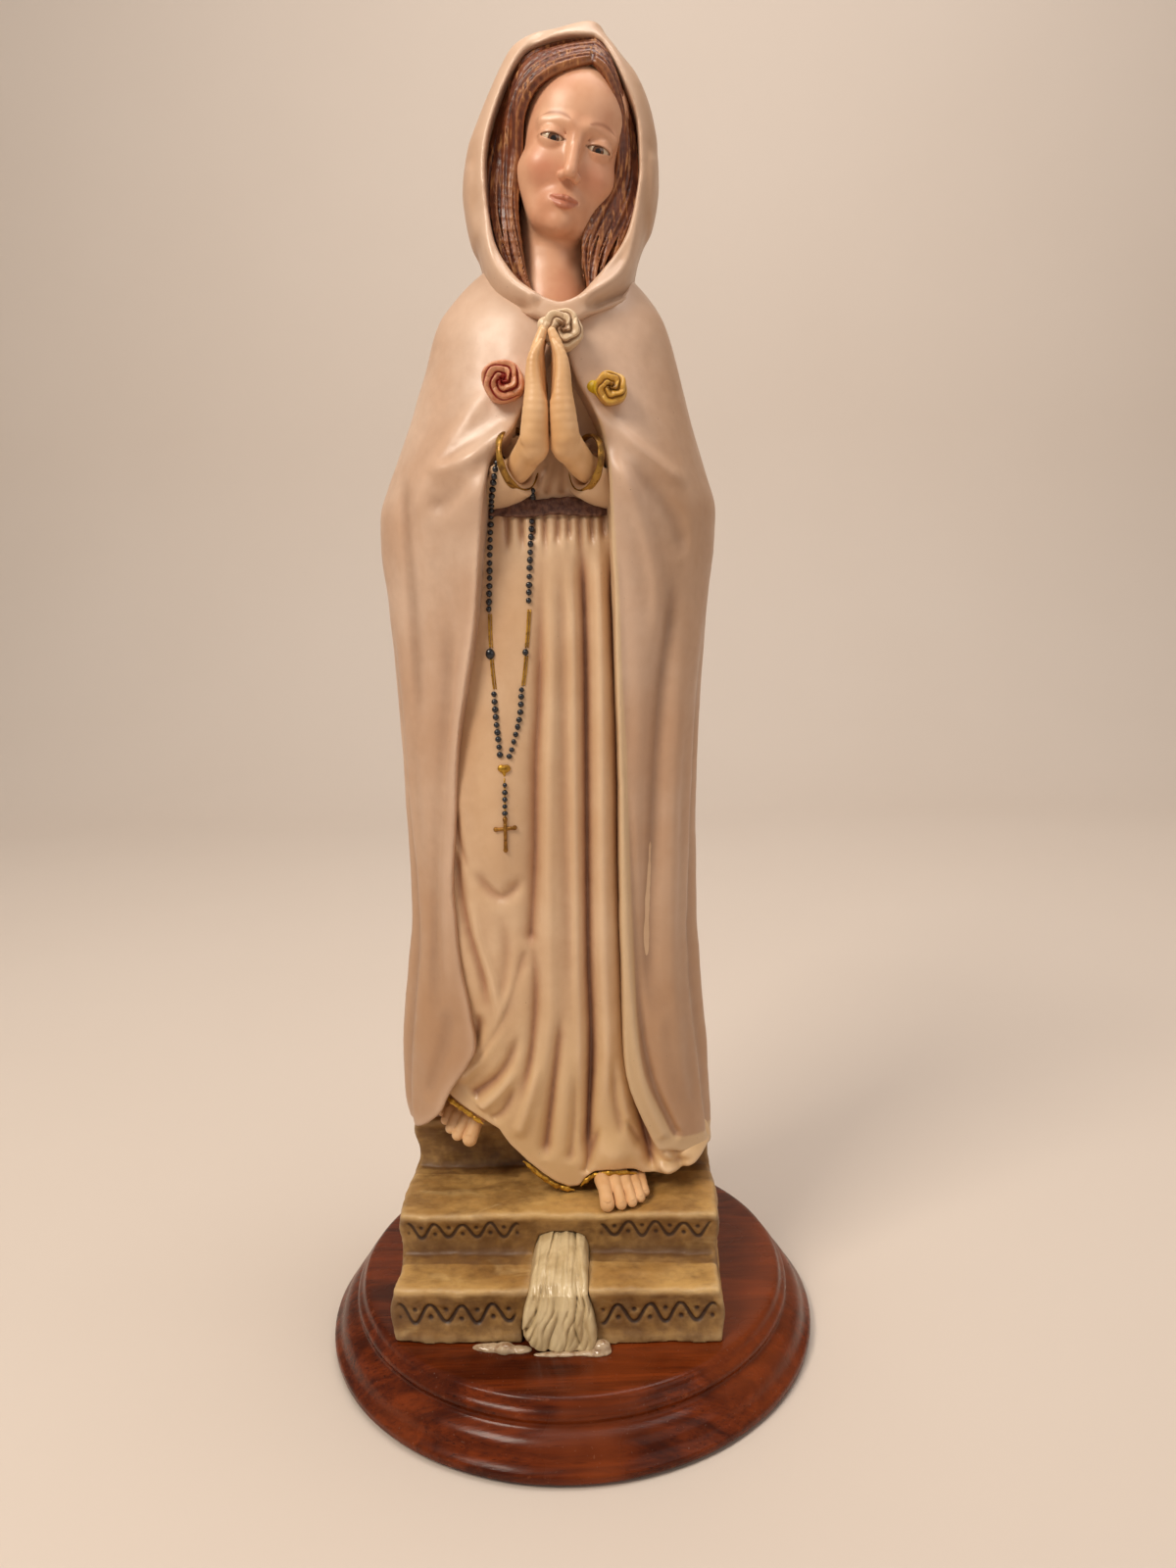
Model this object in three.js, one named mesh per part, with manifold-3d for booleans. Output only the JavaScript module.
// A hooded madonna figure in cast polyresin on a stepped rock, glued to a turned wooden plinth.
// Millimetres, +Z up, front towards -Y. The origin is the centre of the plinth's underside.
import * as THREE from "three";
import { mergeVertices } from "three/addons/utils/BufferGeometryUtils.js";
import Module from "manifold-3d";

const wasm = await Module();
wasm.setup();

// ---- Driving dimensions ----------------------------------------------------------------------

const gap = 0.35; // left between any two touching pieces

// Turned plinth
const plinthRadius = 88;
const plinthHeight = 21.6;
const plateauRadius = plinthRadius - 11;
const footBand = 5; // upright band round the foot
const beadRadius = 2.2; // bead round the plateau
const plinthSides = 44;

// Adhesive between plinth and rock
const adhesiveThickness = 0.5;
const adhesiveInset = 4;
const squeezeOutRadius = 3.2;

// Stepped rock
const rockWidth = 111;
const rockShift = -2.8; // the casting was glued on a little to one side
const rockTurn = THREE.MathUtils.degToRad(-1.6);
const rockFront = -50;
const rockBack = 42;
const lowerRise = 18;
const middleRise = 14.2;
const upperRise = 17.6;
const lowerTread = 21.5;
const middleTread = 35;
const rockChamfer = 1.6;
const waterWidth = 23;
const waterShift = -1.8;

// Levels of the figure, above the middle tread, as shares of its height
const figureHeight = 387.4;
const kneeLevel = 0.3356 * figureHeight;
const hipLevel = 0.4646 * figureHeight;
const elbowLevel = 0.5885 * figureHeight;
const waistLevel = 0.6105 * figureHeight;
const bustLevel = 0.6866 * figureHeight;
const shoulderLevel = 0.7537 * figureHeight;
const necklineLevel = 0.7718 * figureHeight;
const chinLevel = 0.8234 * figureHeight;
const cheekLevel = 0.8776 * figureHeight;
const crownLevel = 0.9783 * figureHeight;
const hoodPeakLevel = figureHeight;

// Mantle
const hemHalfWidth = rockWidth / 2 - 1;
const kneeHalfWidth = 50;
const elbowHalfWidth = 55.5;
const shoulderHalfWidth = 38.5;
const mantleFront = 28;
const mantleBack = 34;
const mantleWall = 4.5;

// Robe, belt and bodice
const beltHeight = 5.2;
const beltProud = 1.2;
const waistNarrowing = 12; // the waist is this much narrower than the mantle's inside
const bodiceHalfWidth = 28;
const bodiceDepth = 19;

// Arms and hands
const sleeveRadius = 10.5;
const cuffRadius = 7.2;
const cuffTrim = 1.8;
const wristRadius = 4.6;
const palmThickness = 3.6;
const fingerRadius = 1.75;
const fingerLength = 15;
const palmsMeetX = 2.6;
const handsFront = -36.5;
const handHeelLevel = 0.6505 * figureHeight;
const fingertipLevel = 0.737 * figureHeight;

// Head, hair and hood
const headTilt = THREE.MathUtils.degToRad(12);
const headCentre = new THREE.Vector3(8, -3.5, 0.888 * figureHeight);
const headHalfWidth = 16;
const headDepth = 18.5;
const headHalfHeight = 0.0697 * figureHeight;
const neckRadius = 10.2;
const neckCentre = new THREE.Vector2(3.2, -3);
const hoodHalfWidth = 30.6;
const hoodWall = 5.6;
const hoodBack = 27;
const hoodFront = 14;

// Feet
const toeRadius = 2.3;
const footLength = 24;
const footHeight = 8.5;

// Roses, rosary and gilding
const roseRadius = 6.6;
const claspRadius = 7.2;
const roseDepth = 5.4;
const beadSize = 0.95;
const strandRadius = 0.35;
const gildRadius = 0.8;
const crossHeight = 9.6;
const crossWidth = 6.6;
const crossArm = 1.3;
const medalSize = 1.9;
const reliefDepth = 1;

// ---- Levels that follow from them -------------------------------------------------------------

const rockBase = plinthHeight + adhesiveThickness + 2 * gap;
const lowerTop = rockBase + lowerRise;
const middleTop = lowerTop + middleRise;
const upperTop = middleTop + upperRise;
const middleFront = rockFront + lowerTread;
const upperFront = middleFront + middleTread;
const waistHalfWidth = elbowHalfWidth - mantleWall - waistNarrowing;

// ---- Solids -------------------------------------------------------------------------------------

function solid(geometry) {
  const bare = geometry.clone();
  bare.deleteAttribute("normal");
  bare.deleteAttribute("uv");
  const merged = mergeVertices(bare, 1e-4);
  return new wasm.Manifold(
    new wasm.Mesh({
      numProp: 3,
      vertProperties: new Float32Array(merged.attributes.position.array),
      triVerts: new Uint32Array(merged.index.array),
    }),
  );
}

function geometryOf(body) {
  const mesh = body.getMesh();
  const geometry = new THREE.BufferGeometry();
  geometry.setAttribute("position", new THREE.BufferAttribute(mesh.vertProperties, 3));
  geometry.setIndex(new THREE.BufferAttribute(mesh.triVerts, 1));
  geometry.computeVertexNormals();
  return geometry;
}

const join = (first, ...others) => others.reduce((body, other) => body.add(other), first);
const cut = (body, ...tools) => tools.reduce((rest, tool) => rest.subtract(tool), body);

// How far a fold draws the cloth in, in the direction (across, along) from the body's axis, at z.
// folds: how many go round, how deep they are, how they sway with height and where they fade out.
function foldAt(folds, across, along, z) {
  if (!folds) return 0;
  const angle = Math.atan2(across, -along);
  const fade = 1 - THREE.MathUtils.smoothstep(z, folds.top - folds.fade, folds.top);
  return folds.depth * fade * (0.5 - 0.5 * Math.cos(folds.count * angle + folds.sway * Math.sin(z / 60)));
}

// Smooth curves through the stations' centres and through their sizes.
function curvesOf(stations) {
  const through = (points) => new THREE.CatmullRomCurve3(points, false, "catmullrom");
  const centres = through(stations.map((s) => new THREE.Vector3(s.x, s.y ?? 0, s.z)));
  const sizes = through(stations.map((s) => new THREE.Vector3(s.w, s.front, s.back)));
  return { centres, sizes };
}

// A solid through oval stations {z, x, y, w, front, back}: w is the half width, front and back the
// depths either side of the centre (x, y). grow offsets the whole surface outwards.
function loft(stations, { grow = 0, sides = 28, rows = 15, squareness = 0.92, folds } = {}) {
  const { centres, sizes } = curvesOf(stations);
  const geometry = new THREE.CylinderGeometry(1, 1, 1, sides, rows);
  const position = geometry.attributes.position;
  for (let i = 0; i < position.count; i++) {
    const u = position.getY(i) + 0.5;
    const across = position.getX(i);
    const along = -position.getZ(i);
    const centre = centres.getPoint(u);
    const size = sizes.getPoint(u);
    const drawn = foldAt(folds, across, along, centre.z);
    const width = size.x - drawn;
    const depth = (along < 0 ? size.y : size.z) - drawn;
    const end = u < 1e-6 ? -grow : u > 1 - 1e-6 ? grow : 0;
    position.setXYZ(
      i,
      centre.x + (width + grow) * Math.sign(across) * Math.abs(across) ** squareness,
      centre.y + (depth + grow) * Math.sign(along) * Math.abs(along) ** squareness,
      centre.z + end,
    );
  }
  return solid(geometry);
}

// A rod with round ends whose radius runs from one end's value to the other's.
function limb(from, to, startRadius, endRadius = startRadius, { grow = 0, sides = 10 } = {}) {
  const length = from.distanceTo(to);
  const steps = 3;
  const profile = [];
  for (let i = 0; i <= steps; i++) {
    const angle = (Math.PI / 2) * (i / steps - 1);
    profile.push([startRadius, 0, angle]);
  }
  for (let i = 0; i <= steps; i++) profile.push([endRadius, length, ((Math.PI / 2) * i) / steps]);
  const points = profile.map(
    ([r, base, angle]) =>
      new THREE.Vector2((r + grow) * Math.cos(angle), base + (r + grow) * Math.sin(angle)),
  );
  points[0].x = 0;
  points[points.length - 1].x = 0;
  const geometry = new THREE.LatheGeometry(points, sides);
  const up = new THREE.Vector3(0, 1, 0);
  const turn = new THREE.Quaternion().setFromUnitVectors(up, to.clone().sub(from).normalize());
  geometry.applyQuaternion(turn);
  geometry.translate(from.x, from.y, from.z);
  return solid(geometry);
}

function ellipsoid(centre, radii, { grow = 0, tilt = 0, sides = 20, rings = 12 } = {}) {
  const geometry = new THREE.SphereGeometry(1, sides, rings);
  geometry.rotateX(Math.PI / 2);
  geometry.scale(radii.x + grow, radii.y + grow, radii.z + grow);
  geometry.rotateY(tilt);
  geometry.translate(centre.x, centre.y, centre.z);
  return solid(geometry);
}

// A closed outline in the front view (x, z), pushed through from y = near to y = far.
function throughFront(points, near, far, curved = true) {
  const corners = points.map(([x, z]) => new THREE.Vector2(x, z));
  const outline = curved ? new THREE.SplineCurve([...corners, corners[0]]).getPoints(34) : corners;
  if (curved) outline.pop();
  const geometry = new THREE.ExtrudeGeometry(new THREE.Shape(outline), {
    depth: far - near,
    bevelEnabled: false,
    curveSegments: 6,
  });
  geometry.rotateX(Math.PI / 2);
  geometry.translate(0, far, 0);
  return solid(geometry);
}

function block(x0, x1, y0, y1, z0, z1) {
  const geometry = new THREE.BoxGeometry(x1 - x0, y1 - y0, z1 - z0);
  geometry.translate((x0 + x1) / 2, (y0 + y1) / 2, (z0 + z1) / 2);
  return solid(geometry);
}

// How far forward the front of a lofted body reaches at (x, z).
function frontOf(stations, x, z, folds) {
  const { centres, sizes } = curvesOf(stations);
  let [low, high] = [0, 1];
  for (let step = 0; step < 24; step++) {
    const middle = (low + high) / 2;
    if (centres.getPoint(middle).z < z) low = middle;
    else high = middle;
  }
  const centre = centres.getPoint(low);
  const size = sizes.getPoint(low);
  const share = THREE.MathUtils.clamp((x - centre.x) / size.x, -0.98, 0.98);
  const along = Math.sqrt(1 - share * share);
  return centre.y - (size.y - foldAt(folds, share, -along, z)) * along ** 0.92;
}

// A thin rod along points, optionally with beads threaded on it.
function strand(points, radius, sides = 4, steps = 12) {
  const path = new THREE.CatmullRomCurve3(points);
  const ring = [];
  for (let i = 0; i < sides; i++) {
    const angle = (2 * Math.PI * i) / sides;
    ring.push(new THREE.Vector2(radius * Math.cos(angle), radius * Math.sin(angle)));
  }
  return solid(
    new THREE.ExtrudeGeometry(new THREE.Shape(ring), { steps, extrudePath: path, bevelEnabled: false }),
  );
}

function bead(at, radius) {
  const geometry = new THREE.OctahedronGeometry(radius);
  geometry.translate(at.x, at.y, at.z);
  return solid(geometry);
}

// ---- Stations of the clothed figure -------------------------------------------------------------

const up = (level) => middleTop + level;
const at = (x, y, level) => new THREE.Vector3(x, y, up(level));

const mantleStations = [
  { z: up(gap), x: -2.5, w: hemHalfWidth, front: mantleFront - 11, back: mantleBack + 3 },
  { z: up(kneeLevel / 3), x: -4, w: hemHalfWidth, front: mantleFront - 6, back: mantleBack + 2 },
  { z: up(kneeLevel * 0.7), x: -3.6, w: kneeHalfWidth + 1, front: mantleFront - 1, back: mantleBack },
  { z: up(kneeLevel), x: -3, w: kneeHalfWidth, front: mantleFront, back: mantleBack },
  { z: up(hipLevel), x: -2.5, w: elbowHalfWidth - 3.5, front: mantleFront, back: mantleBack },
  { z: up(elbowLevel), x: -1.6, w: elbowHalfWidth, front: mantleFront + 4, back: mantleBack },
  { z: up(bustLevel), x: 0.3, w: elbowHalfWidth - 9, front: mantleFront + 3, back: mantleBack - 3 },
  { z: up(shoulderLevel), x: 1.2, w: shoulderHalfWidth, front: mantleFront - 3, back: mantleBack - 8 },
  { z: up(necklineLevel + 8), x: 2, w: shoulderHalfWidth - 12, front: 17, back: 20 },
];

const mantleFolds = { count: 9, depth: 3, sway: 0.9, top: up(bustLevel), fade: 90 };
const robeFolds = { count: 15, depth: 3.2, sway: 0.7, top: up(waistLevel + 4), fade: 40 };

const robeStations = mantleStations
  .filter((station) => station.z < up(waistLevel))
  .map((s) => ({ ...s, w: s.w - mantleWall, front: s.front - mantleWall / 2, back: s.back - mantleWall }));
robeStations.push({ z: up(waistLevel), x: -1, w: waistHalfWidth, front: mantleFront - 3, back: 26 });

const beltStations = [
  { z: up(waistLevel + gap), x: -1, w: waistHalfWidth + beltProud, front: mantleFront - 2, back: 27 },
  { z: up(waistLevel + beltHeight - gap), x: -0.6, w: waistHalfWidth, front: mantleFront - 2.4, back: 26 },
];

const bodiceStations = [
  { z: up(waistLevel + beltHeight), x: -0.5, w: waistHalfWidth - 2, front: mantleFront - 4, back: 24 },
  { z: up(bustLevel - 8), x: 1, w: bodiceHalfWidth + 2, front: bodiceDepth + 4, back: bodiceDepth + 2 },
  { z: up(shoulderLevel - 8), x: 2.4, w: bodiceHalfWidth - 4, front: bodiceDepth, back: bodiceDepth },
  { z: up(necklineLevel), x: 3.4, w: 13, front: 15, back: 11 },
];

const neckStations = [
  { z: up(necklineLevel - 7), x: 3, y: neckCentre.y, w: neckRadius + 3, front: 13, back: neckRadius },
  { z: up(necklineLevel + 6), x: neckCentre.x, y: neckCentre.y, w: neckRadius, front: 10, back: 9 },
  { z: up(chinLevel + 6), x: 5.2, y: neckCentre.y, w: neckRadius, front: 9, back: 9 },
];

const hoodStations = [
  { z: up(necklineLevel - 4), x: 4.6, w: hoodHalfWidth - 9, front: 26, back: hoodBack - 5 },
  { z: up(necklineLevel + 4), x: 4.5, w: hoodHalfWidth - 3, front: 23, back: hoodBack - 2 },
  { z: up(chinLevel - 6), x: 4.3, w: hoodHalfWidth - 4.8, front: 18, back: hoodBack - 1 },
  { z: up(chinLevel + 7), x: 5.2, w: hoodHalfWidth - 1.4, front: hoodFront + 1, back: hoodBack },
  { z: up(cheekLevel), x: 5.8, w: hoodHalfWidth, front: hoodFront, back: hoodBack },
  { z: up(cheekLevel + 14), x: 7.2, w: hoodHalfWidth - 3, front: hoodFront, back: hoodBack - 2 },
  { z: up(crownLevel - 12), x: 8.6, w: hoodHalfWidth - 7.8, front: hoodFront + 1, back: hoodBack - 5 },
  { z: up(crownLevel), x: 11, w: hoodHalfWidth - 14.6, front: hoodFront - 3, back: hoodBack - 13 },
  { z: up(hoodPeakLevel), x: 14, w: 4, front: 4, back: 5 },
];

const hairStations = [
  { z: up(necklineLevel + 2), x: 4.5, w: 17, front: 10, back: 15 },
  ...hoodStations
    .slice(2)
    .map((s) => ({ ...s, w: s.w - hoodWall, front: s.front - 1.5, back: s.back - hoodWall })),
];
hairStations[hairStations.length - 1] = {
  z: up(hoodPeakLevel - hoodWall),
  x: 12.5,
  w: 3,
  front: 3,
  back: 3,
};

// ---- Plinth, adhesive and rock ------------------------------------------------------------------

function plinth() {
  const profile = new THREE.Path();
  const beadLevel = plinthHeight - 1 - beadRadius;
  profile.moveTo(0, 0);
  profile.lineTo(plinthRadius - 1, 0);
  profile.lineTo(plinthRadius, 1);
  profile.lineTo(plinthRadius, footBand - 0.8);
  profile.lineTo(plinthRadius - 1.8, footBand);
  profile.quadraticCurveTo(plinthRadius - 2.4, footBand + 8, plateauRadius, beadLevel - beadRadius);
  profile.lineTo(plateauRadius - 0.6, beadLevel - beadRadius + 0.4);
  profile.absarc(plateauRadius - 0.6, beadLevel, beadRadius - 0.4, -Math.PI / 2, Math.PI / 2, false);
  profile.lineTo(plateauRadius - 2.4, plinthHeight);
  profile.lineTo(0, plinthHeight);
  const geometry = new THREE.LatheGeometry(profile.getPoints(4), plinthSides);
  geometry.rotateX(Math.PI / 2);
  return solid(geometry);
}

// A slab of the rock: a (y, z) side profile with worn front edge, pushed across the rock's width.
function slab(front, back, bottom, top, { grow = 0, width = rockWidth, chamfer = rockChamfer } = {}) {
  const [y0, y1] = [front - grow, back + grow];
  const [z0, z1] = [bottom - grow, top + grow];
  const profile = new THREE.Shape();
  profile.moveTo(y0, z0);
  profile.lineTo(y1, z0);
  profile.lineTo(y1, z1);
  profile.lineTo(y0 + chamfer, z1);
  profile.lineTo(y0, z1 - chamfer);
  return turned(acrossWidth(profile, rockShift, width + 2 * grow));
}

// Pushes a (y, z) shape along x for a width centred on middle.
function acrossWidth(shape, middle, width) {
  const geometry = new THREE.ExtrudeGeometry(shape, { depth: width, bevelEnabled: false, curveSegments: 8 });
  geometry.rotateY(Math.PI / 2);
  geometry.rotateX(Math.PI / 2);
  geometry.translate(middle - width / 2, 0, 0);
  return solid(geometry);
}

const turned = (body) => body.rotate([0, 0, THREE.MathUtils.radToDeg(rockTurn)]);

const lowerStep = (grow) => slab(rockFront, rockBack, rockBase, lowerTop - gap, { grow });
const middleStep = (grow) => slab(middleFront, rockBack, lowerTop, middleTop - gap, { grow });
const upperStep = (grow) => slab(upperFront, rockBack, middleTop, upperTop, { grow });
const rockAround = () => [lowerStep(gap), middleStep(gap), upperStep(gap)];

function waterfall({ grow = 0 } = {}) {
  const profile = new THREE.Shape();
  const lip = lowerTop + 8.6;
  profile.moveTo(middleFront + 2, lip + grow);
  profile.quadraticCurveTo(rockFront + 12, lip - 3 + grow, rockFront + 1, lowerTop + 2.5 + grow);
  profile.quadraticCurveTo(rockFront - 5 - grow, lowerTop - 2, rockFront - 5.4 - grow, rockBase - grow);
  profile.lineTo(middleFront + 2, rockBase - grow);
  const flow = turned(acrossWidth(profile, waterShift, waterWidth + 2 * grow));
  return grow ? flow : cut(flow, ...rockAround());
}

function adhesiveBed() {
  const bottom = plinthHeight + gap;
  const [front, back] = [rockFront + adhesiveInset, rockBack - adhesiveInset];
  const width = rockWidth - 2 * adhesiveInset;
  return slab(front, back, bottom, bottom + adhesiveThickness, { width, chamfer: adhesiveThickness / 4 });
}

function squeezeOut(x, y) {
  const centre = new THREE.Vector3(x, y, plinthHeight + gap);
  const radii = new THREE.Vector3(squeezeOutRadius + 1.4, squeezeOutRadius, squeezeOutRadius);
  const drop = ellipsoid(centre, radii, { sides: 14, rings: 10 });
  const bench = block(-plinthRadius, plinthRadius, -plinthRadius, plinthRadius, -1, plinthHeight + gap);
  return cut(drop, bench, lowerStep(gap), waterfall({ grow: gap }));
}

// ---- Feet, hands and arms -----------------------------------------------------------------------

// Toes fan out from the ball of the foot. big and little are the outer toes' tips, on a floor.
function foot(heel, ball, big, little, floor, { grow = 0 } = {}) {
  const toes = 5;
  const lift = (v, radius) => new THREE.Vector3(v.x, v.y, floor + gap + radius);
  const [heelRadius, ballRadius] = [footHeight * 0.7, footHeight * 0.54];
  let body = limb(lift(heel, heelRadius), lift(ball, ballRadius), heelRadius, ballRadius, { grow });
  for (let i = 0; i < toes; i++) {
    const share = i / (toes - 1);
    const tip = big.clone().lerp(little, share);
    const bulge = Math.sin(Math.PI * share) * 2;
    const radius = toeRadius * (1 - 0.34 * share);
    const along = tip.clone().sub(ball).normalize().multiplyScalar(bulge);
    const root = ball.clone().lerp(tip, 0.35);
    body = join(body, limb(lift(root, radius + 1), lift(tip.add(along), radius), radius, radius, { grow, sides: 8 }));
  }
  return body;
}

const point = (x, y) => new THREE.Vector3(x, y, 0);
const rightFootFloor = middleTop - gap;
const rightFoot = (grow) =>
  foot(point(13, -27 + footLength), point(16, -14), point(14, -24.5), point(25, -15.5), rightFootFloor, { grow });
const leftFoot = (grow) =>
  foot(point(-31, -4 + footLength), point(-36, 2), point(-34.5, -7), point(-44, 1), upperTop, { grow });

// side is -1 for the hand on the left of the front view, and 1 for the other.
const wristOf = (side) => at(palmsMeetX + side * 11, handsFront + 6, handHeelLevel - 3 + side);

function hand(side, { grow = 0 } = {}) {
  const inner = (reach, y, level) => at(palmsMeetX + side * reach, y, level);
  const palmFoot = inner(6.2, handsFront + 1.5, handHeelLevel + 6);
  const knuckles = inner(palmThickness, handsFront, fingertipLevel - fingerLength);
  let body = join(
    limb(wristOf(side), palmFoot, wristRadius, wristRadius + 0.6, { grow }),
    limb(palmFoot, knuckles, wristRadius + 0.6, palmThickness, { grow }),
  );
  for (let finger = 0; finger < 4; finger++) {
    const y = handsFront + (finger - 1.5) * fingerRadius * 1.35;
    const droop = [3.2, 1, 0, 1.4][finger];
    body = join(
      body,
      limb(
        inner(palmThickness + 0.4, y, fingertipLevel - fingerLength - 2),
        inner(fingerRadius + 0.1, y, fingertipLevel - fingerRadius - droop),
        fingerRadius + 0.4,
        fingerRadius,
        { grow, sides: 8 },
      ),
    );
  }
  if (grow) return body;
  const [from, to] = side < 0 ? [palmsMeetX - gap / 2, palmsMeetX + 40] : [palmsMeetX - 40, palmsMeetX + gap / 2];
  return cut(body, block(from, to, handsFront - 30, handsFront + 40, up(0), up(hoodPeakLevel)));
}

const elbowOf = (side) => at(side < 0 ? -35 : 35, -9, elbowLevel + 6);
const cuffOf = (side) => wristOf(side).lerp(elbowOf(side), 0.16);

function cuff(side, { grow = 0 } = {}) {
  const ring = new THREE.TorusGeometry(cuffRadius, cuffTrim / 2 + grow, 5, 18);
  const along = elbowOf(side).sub(wristOf(side)).normalize();
  ring.applyQuaternion(new THREE.Quaternion().setFromUnitVectors(new THREE.Vector3(0, 0, 1), along));
  const centre = cuffOf(side);
  ring.translate(centre.x, centre.y, centre.z);
  return solid(ring);
}

function sleeve(side, { grow = 0 } = {}) {
  const start = elbowOf(side).lerp(cuffOf(side), 0.25);
  const end = cuffOf(side).lerp(elbowOf(side), 0.22);
  return limb(start, end, sleeveRadius, cuffRadius + 0.2, { grow, sides: 16 });
}

// ---- Head and covering --------------------------------------------------------------------------

const headAt = headCentre.clone().setZ(up(headCentre.z));

function head({ grow = 0 } = {}) {
  const radii = new THREE.Vector3(headHalfWidth, headDepth, headHalfHeight);
  const leaning = (x, y, z) =>
    new THREE.Vector3(x, y, z).applyAxisAngle(new THREE.Vector3(0, 1, 0), headTilt).add(headAt);
  const skull = ellipsoid(headAt, radii, { grow, tilt: headTilt });
  const nose = limb(leaning(0, -headDepth + 0.5, 1), leaning(0, -headDepth - 1.6, -6), 1.2, 1.9, { grow, sides: 8 });
  const chin = limb(leaning(0, -9, -21), leaning(0, -11, -22), 5, 4, { grow, sides: 8 });
  return join(skull, nose, chin);
}

const hoodBody = (grow) => loft(hoodStations, { grow, sides: 28, rows: 14 });
const neckBody = (grow) => loft(neckStations, { grow, sides: 20, rows: 6 });
const hairBody = (grow) => loft(hairStations, { grow, sides: 24, rows: 12 });
const mantleBody = (grow) => loft(mantleStations, { grow, sides: 40, folds: mantleFolds });
const bodiceBody = (grow) => loft(bodiceStations, { grow, sides: 24, rows: 5 });
const beltBody = (grow) => loft(beltStations, { grow, sides: 24, rows: 1 });
const robeBody = (grow) => loft(robeStations, { grow, sides: 60, rows: 10, folds: robeFolds });

const faceOutline = [
  [6, up(necklineLevel + 1)],
  [-5, up(necklineLevel + 5)],
  [-9.5, up(chinLevel)],
  [-10, up(cheekLevel)],
  [-6, up(crownLevel - 18)],
  [6, up(crownLevel - 11)],
  [18, up(crownLevel - 16)],
  [25, up(cheekLevel + 8)],
  [22, up(chinLevel + 4)],
  [15, up(necklineLevel + 5)],
];

const hoodOutline = [
  [5, up(necklineLevel - 1)],
  [-6, up(necklineLevel + 4)],
  [-13.6, up(chinLevel - 5)],
  [-17, up(cheekLevel)],
  [-12, up(crownLevel - 17)],
  [2, up(crownLevel - 3)],
  [14, up(crownLevel - 1)],
  [26, up(crownLevel - 14)],
  [31, up(cheekLevel)],
  [24, up(chinLevel - 5)],
  [15, up(necklineLevel + 3)],
];

// The mantle hangs open down the front, wider to the left over the bent knee.
const mantleOpening = [
  [4.5, up(shoulderLevel + 1)],
  [-6.4, up(bustLevel - 2)],
  [-17, up(elbowLevel + 21)],
  [-20.5, up(elbowLevel + 6)],
  [-22.4, up(hipLevel + 22)],
  [-28, up(hipLevel - 3)],
  [-34, up(kneeLevel + 16)],
  [-35.6, up(kneeLevel - 34)],
  [-32, up(kneeLevel / 2)],
  [-39, up(upperRise + 20)],
  [-50, up(upperRise + 4)],
  [-40, up(-6)],
  [10, up(-8)],
  [42, up(-6)],
  [34, up(27)],
  [26.6, up(kneeLevel / 2)],
  [23, up(kneeLevel - 34)],
  [21.5, up(kneeLevel)],
  [20.2, up(hipLevel)],
  [19.6, up(elbowLevel)],
  [15, up(elbowLevel + 28)],
  [9.5, up(bustLevel + 6)],
];

// What the robe's hem uncovers: the ledge, and the foot that stands on it.
const underHem = [
  [-70, up(upperRise + 20)],
  [-44, up(upperRise + 17)],
  [-34, up(upperRise + 13)],
  [-23, up(upperRise)],
  [-14, up(upperRise / 2)],
  [-5, up(1.2)],
  [-5, up(-5)],
  [-70, up(-5)],
];

// Everything that the mantle goes round, grown by the gap.
const dressed = () => [
  robeBody(gap),
  beltBody(gap),
  bodiceBody(gap),
  sleeve(-1, { grow: gap }),
  sleeve(1, { grow: gap }),
  cuff(-1, { grow: gap }),
  cuff(1, { grow: gap }),
  hand(-1, { grow: gap }),
  hand(1, { grow: gap }),
  neckBody(gap),
  hairBody(gap),
];

function mantle() {
  const opening = throughFront(mantleOpening, -70, -1);
  return cut(mantleBody(0), opening, ...dressed(), upperStep(gap), leftFoot(gap), rightFoot(gap));
}

function hood() {
  const opening = throughFront(hoodOutline, -60, 0);
  const shell = hoodBody(0);
  return cut(shell, opening, hairBody(gap), neckBody(gap), bodiceBody(gap), mantleBody(gap), head({ grow: gap }));
}

function hair() {
  const opening = throughFront(faceOutline, -60, -2);
  return cut(hairBody(0), opening, neckBody(gap), head({ grow: gap }), bodiceBody(gap));
}

function robe() {
  const lift = throughFront(underHem, -60, upperFront - gap, false);
  return cut(robeBody(0), lift, upperStep(gap), leftFoot(gap), rightFoot(gap), beltBody(gap));
}

const arms = () => [-1, 1].flatMap((side) => [hand(side, { grow: gap }), cuff(side, { grow: gap })]);
const belt = () => cut(beltBody(0), ...arms(), sleeve(-1, { grow: gap }), sleeve(1, { grow: gap }));
const bodice = () =>
  cut(bodiceBody(0), beltBody(gap), neckBody(gap), ...arms(), sleeve(-1, { grow: gap }), sleeve(1, { grow: gap }));
const sleeveOnly = (side) => cut(sleeve(side), robeBody(gap), ...arms());
const neck = () => cut(neckBody(0), head({ grow: gap }));

// ---- Roses, rosary and gilding --------------------------------------------------------------------

// A rose seen from the front: rings of petals closing on a bud. around are grown bodies it rests on.
function rose(x, level, y, radius, around) {
  const profile = new THREE.Path();
  profile.moveTo(0, -2);
  profile.lineTo(radius * 0.86, -1);
  profile.lineTo(radius, roseDepth * 0.3);
  profile.lineTo(radius * 0.8, roseDepth * 0.62);
  profile.lineTo(radius * 0.68, roseDepth * 0.46);
  profile.lineTo(radius * 0.56, roseDepth * 0.86);
  profile.lineTo(radius * 0.38, roseDepth * 0.66);
  profile.lineTo(radius * 0.24, roseDepth);
  profile.lineTo(0, roseDepth * 0.9);
  const geometry = new THREE.LatheGeometry(profile.getPoints(1), 16);
  geometry.rotateX(Math.PI);
  geometry.translate(x, y, up(level));
  return cut(solid(geometry), ...around);
}

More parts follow.
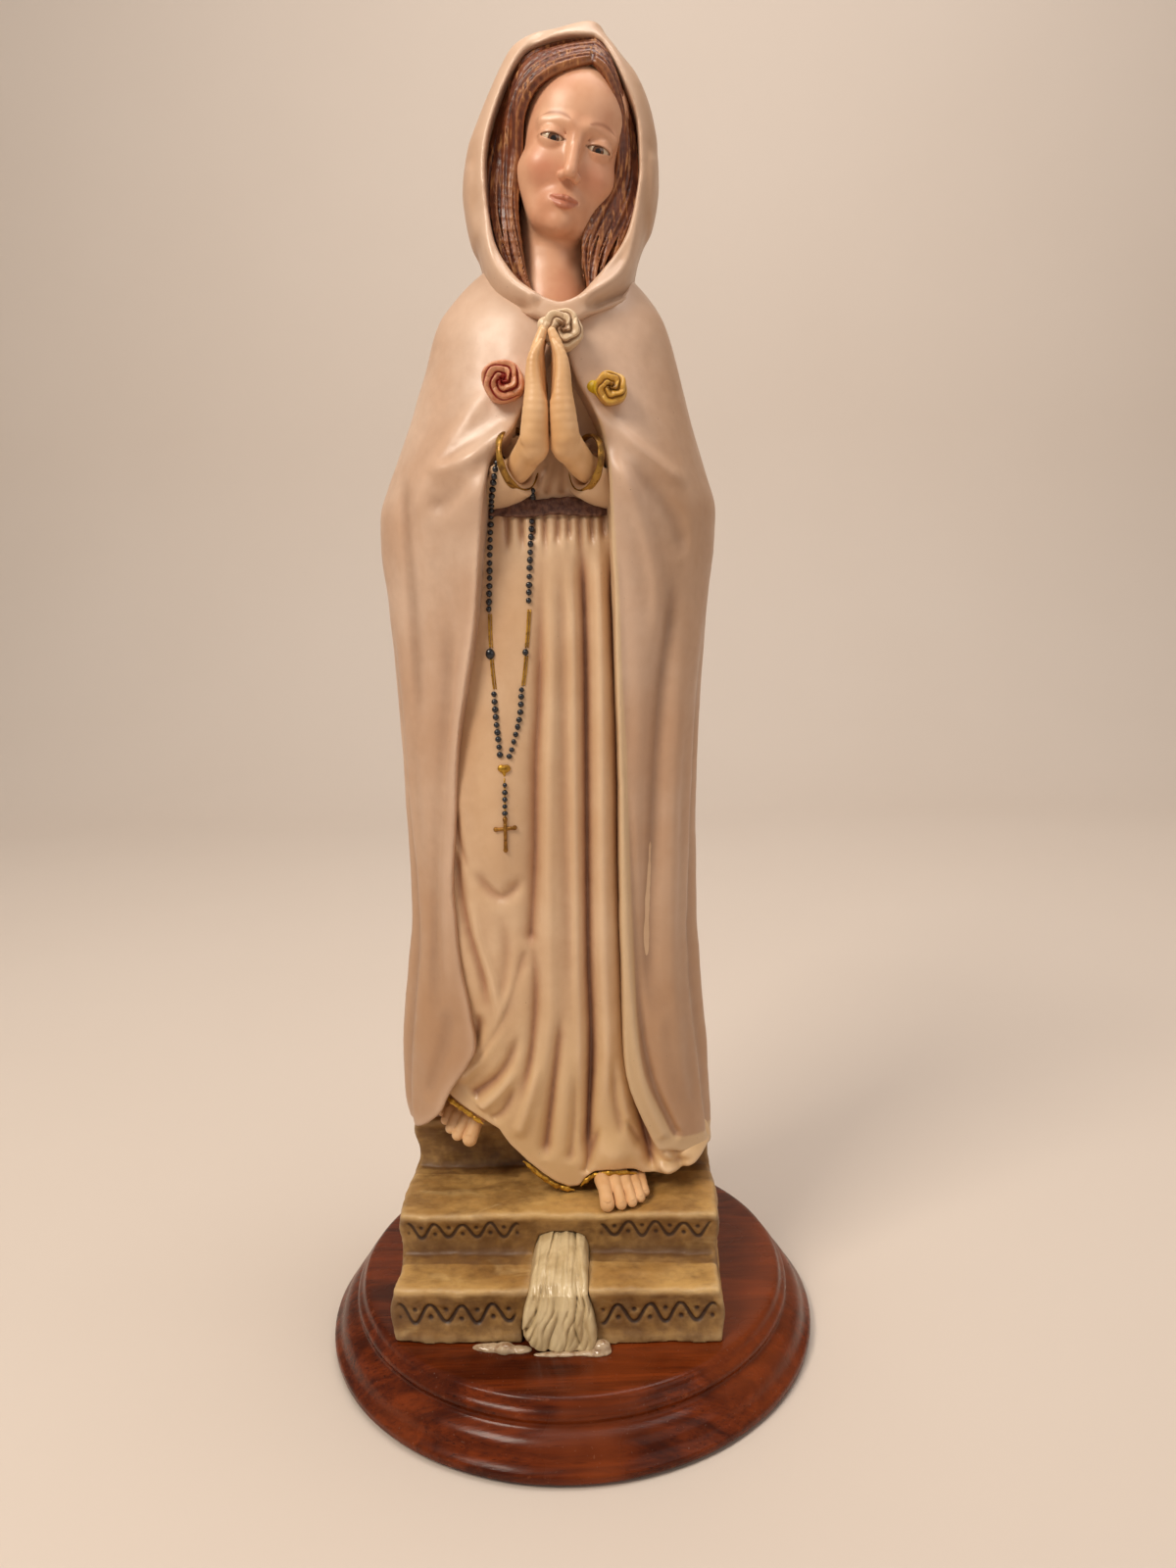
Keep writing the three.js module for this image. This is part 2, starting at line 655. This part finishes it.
const chestRose = (x, level) =>
  rose(x, level, frontOf(mantleStations, x, up(level)), roseRadius, [mantleBody(gap), ...arms()]);
const claspRose = () =>
  rose(4.8, shoulderLevel - 1.5, frontOf(hoodStations, 5, up(necklineLevel)) - 2.4, claspRadius, [
    mantleBody(gap),
    hoodBody(gap),
    ...arms(),
  ]);

// A point on the front of the clothes, raised by a height.
function onClothes(x, level, raise) {
  const z = up(level);
  const cloth = [frontOf(robeStations, x, z, robeFolds)];
  if (level > waistLevel - 3) cloth.push(frontOf(beltStations, x, z), frontOf(bodiceStations, x, z));
  return new THREE.Vector3(x, Math.min(...cloth) - gap - raise, z);
}

function beads(route, count, from = 0, to = 1) {
  const path = new THREE.SplineCurve(route.map(([x, level]) => new THREE.Vector2(x, level)));
  const points = path.getPoints(3 * route.length).map((p) => onClothes(p.x, p.y, beadSize + 1));
  const curve = new THREE.CatmullRomCurve3(points);
  let body = strand(points, strandRadius);
  for (let i = 0; i < count; i++) {
    body = join(body, bead(curve.getPointAt(from + ((to - from) * i) / (count - 1)), beadSize));
  }
  return body;
}

const medalAt = [-16.9, 156.5];
const rosaryLeft = () => {
  const route = [[-18.2, 229], [-18.8, 218], [-19.4, 204], [-19.4, 192], [-18.9, 179], [-17.4, 160.5]];
  return beads(route, 18, 0.02, 0.97);
};
const rosaryRight = () => {
  const route = [[-5.6, 238], [-6.5, 225], [-7.7, 208], [-9, 194], [-10.4, 182], [-16.2, 160.5]];
  return beads(route, 17, 0.04, 0.97);
};
const rosaryDrop = () => beads([[-17, 152.5], [-17.1, 147], [-17.2, 142.2]], 5, 0.1, 0.9);

// A flat trinket: an outline in the front view, raised off the clothes.
function trinket(shape, x, level) {
  const geometry = new THREE.ExtrudeGeometry(shape, { depth: reliefDepth, bevelEnabled: false, curveSegments: 6 });
  geometry.rotateX(Math.PI / 2);
  const seat = onClothes(x, level, 0);
  geometry.translate(x, seat.y, seat.z);
  return solid(geometry);
}

function medal() {
  const heart = new THREE.Shape();
  heart.moveTo(0, -medalSize);
  heart.bezierCurveTo(-medalSize * 1.6, 0, -medalSize, medalSize * 1.5, 0, medalSize * 0.7);
  heart.bezierCurveTo(medalSize, medalSize * 1.5, medalSize * 1.6, 0, 0, -medalSize);
  return trinket(heart, ...medalAt);
}

function cross() {
  const [w, h, a] = [crossWidth / 2, crossHeight / 2, crossArm / 2];
  const bar = h * 0.36;
  const corners = [
    [-a, -h], [a, -h], [a, bar - a], [w, bar - a], [w, bar + a], [a, bar + a],
    [a, h], [-a, h], [-a, bar + a], [-w, bar + a], [-w, bar - a], [-a, bar - a],
  ];
  return trinket(new THREE.Shape(corners.map(([x, z]) => new THREE.Vector2(x, z))), -17.3, 136.4);
}

// Gold along the hem, standing just clear of the robe.
function gilding(route, depthAt) {
  const points = route.map(([x, level]) => at(x, depthAt(x, up(level)) - gap - gildRadius - 1, level));
  return cut(strand(points, gildRadius, 6, 16), ...rockAround(), leftFoot(gap), rightFoot(gap));
}
const robeFront = (x, z) => frontOf(robeStations, x, z, robeFolds);
const gildLeft = () => gilding([[-39, 34], [-35.5, 32.6], [-30.5, 29.6], [-24, 21]], robeFront);
const gildMiddle = () => gilding([[-12.5, 9.5], [-8, 5.4], [-3, 2.6], [1, 2]], robeFront);
const gildRight = () => gilding([[7, 5], [11, 11.5], [17, 14], [25, 12.5]], (x) => robeFront(x, up(12)) - 1.5);

// ---- Assembly -------------------------------------------------------------------------------------

const finish = {
  wood: new THREE.MeshStandardMaterial({ color: 0x4a1c10, roughness: 0.3, metalness: 0 }),
  adhesive: new THREE.MeshStandardMaterial({ color: 0xb9a996, roughness: 0.08, metalness: 0 }),
  rock: new THREE.MeshStandardMaterial({ color: 0xa98354, roughness: 0.6, metalness: 0 }),
  water: new THREE.MeshStandardMaterial({ color: 0xd8cdae, roughness: 0.35, metalness: 0 }),
  mantle: new THREE.MeshStandardMaterial({ color: 0xcdb09a, roughness: 0.4, metalness: 0 }),
  robe: new THREE.MeshStandardMaterial({ color: 0xdcbb9c, roughness: 0.4, metalness: 0 }),
  skin: new THREE.MeshStandardMaterial({ color: 0xdca57a, roughness: 0.35, metalness: 0 }),
  hair: new THREE.MeshStandardMaterial({ color: 0x6e3422, roughness: 0.35, metalness: 0 }),
  belt: new THREE.MeshStandardMaterial({ color: 0x6a4638, roughness: 0.5, metalness: 0 }),
  gold: new THREE.MeshStandardMaterial({ color: 0xc59a35, roughness: 0.35, metalness: 0.8 }),
  beads: new THREE.MeshStandardMaterial({ color: 0x23252e, roughness: 0.3, metalness: 0 }),
  whiteRose: new THREE.MeshStandardMaterial({ color: 0xdcbd9d, roughness: 0.4, metalness: 0 }),
  redRose: new THREE.MeshStandardMaterial({ color: 0xa33528, roughness: 0.4, metalness: 0 }),
  yellowRose: new THREE.MeshStandardMaterial({ color: 0xcf9b2c, roughness: 0.4, metalness: 0 }),
};

const statue = new THREE.Group();

function add(name, body, material) {
  const mesh = new THREE.Mesh(geometryOf(body), material);
  mesh.name = name;
  statue.add(mesh);
}

add("plinth", plinth(), finish.wood);
add("adhesive_bed", adhesiveBed(), finish.adhesive);
add("adhesive_bead_left", squeezeOut(-22.5, rockFront - 3.4), finish.adhesive);
add("adhesive_bead_right", squeezeOut(10.6, rockFront - 4.6), finish.adhesive);
add("lower_step", lowerStep(0), finish.rock);
add("middle_step", middleStep(0), finish.rock);
add("upper_step", upperStep(0), finish.rock);
add("waterfall", waterfall(), finish.water);
add("foot_left", leftFoot(0), finish.skin);
add("foot_right", rightFoot(0), finish.skin);
add("robe", robe(), finish.robe);
add("belt", belt(), finish.belt);
add("bodice", bodice(), finish.robe);
add("sleeve_left", sleeveOnly(-1), finish.robe);
add("sleeve_right", sleeveOnly(1), finish.robe);
add("cuff_trim_left", cuff(-1), finish.gold);
add("cuff_trim_right", cuff(1), finish.gold);
add("hand_left", hand(-1), finish.skin);
add("hand_right", hand(1), finish.skin);
add("mantle", mantle(), finish.mantle);
add("hood", hood(), finish.mantle);
add("hair", hair(), finish.hair);
add("head", head(), finish.skin);
add("neck", neck(), finish.skin);
add("rose_clasp", claspRose(), finish.whiteRose);
add("rose_red", chestRose(-13, 275), finish.redRose);
add("rose_yellow", chestRose(18.5, 273), finish.yellowRose);
add("rosary_strand_left", rosaryLeft(), finish.beads);
add("rosary_strand_right", rosaryRight(), finish.beads);
add("rosary_drop", rosaryDrop(), finish.beads);
add("rosary_medal", medal(), finish.gold);
add("rosary_cross", cross(), finish.gold);
add("hem_gilding_left", gildLeft(), finish.gold);
add("hem_gilding_middle", gildMiddle(), finish.gold);
add("hem_gilding_right", gildRight(), finish.gold);

export default statue;
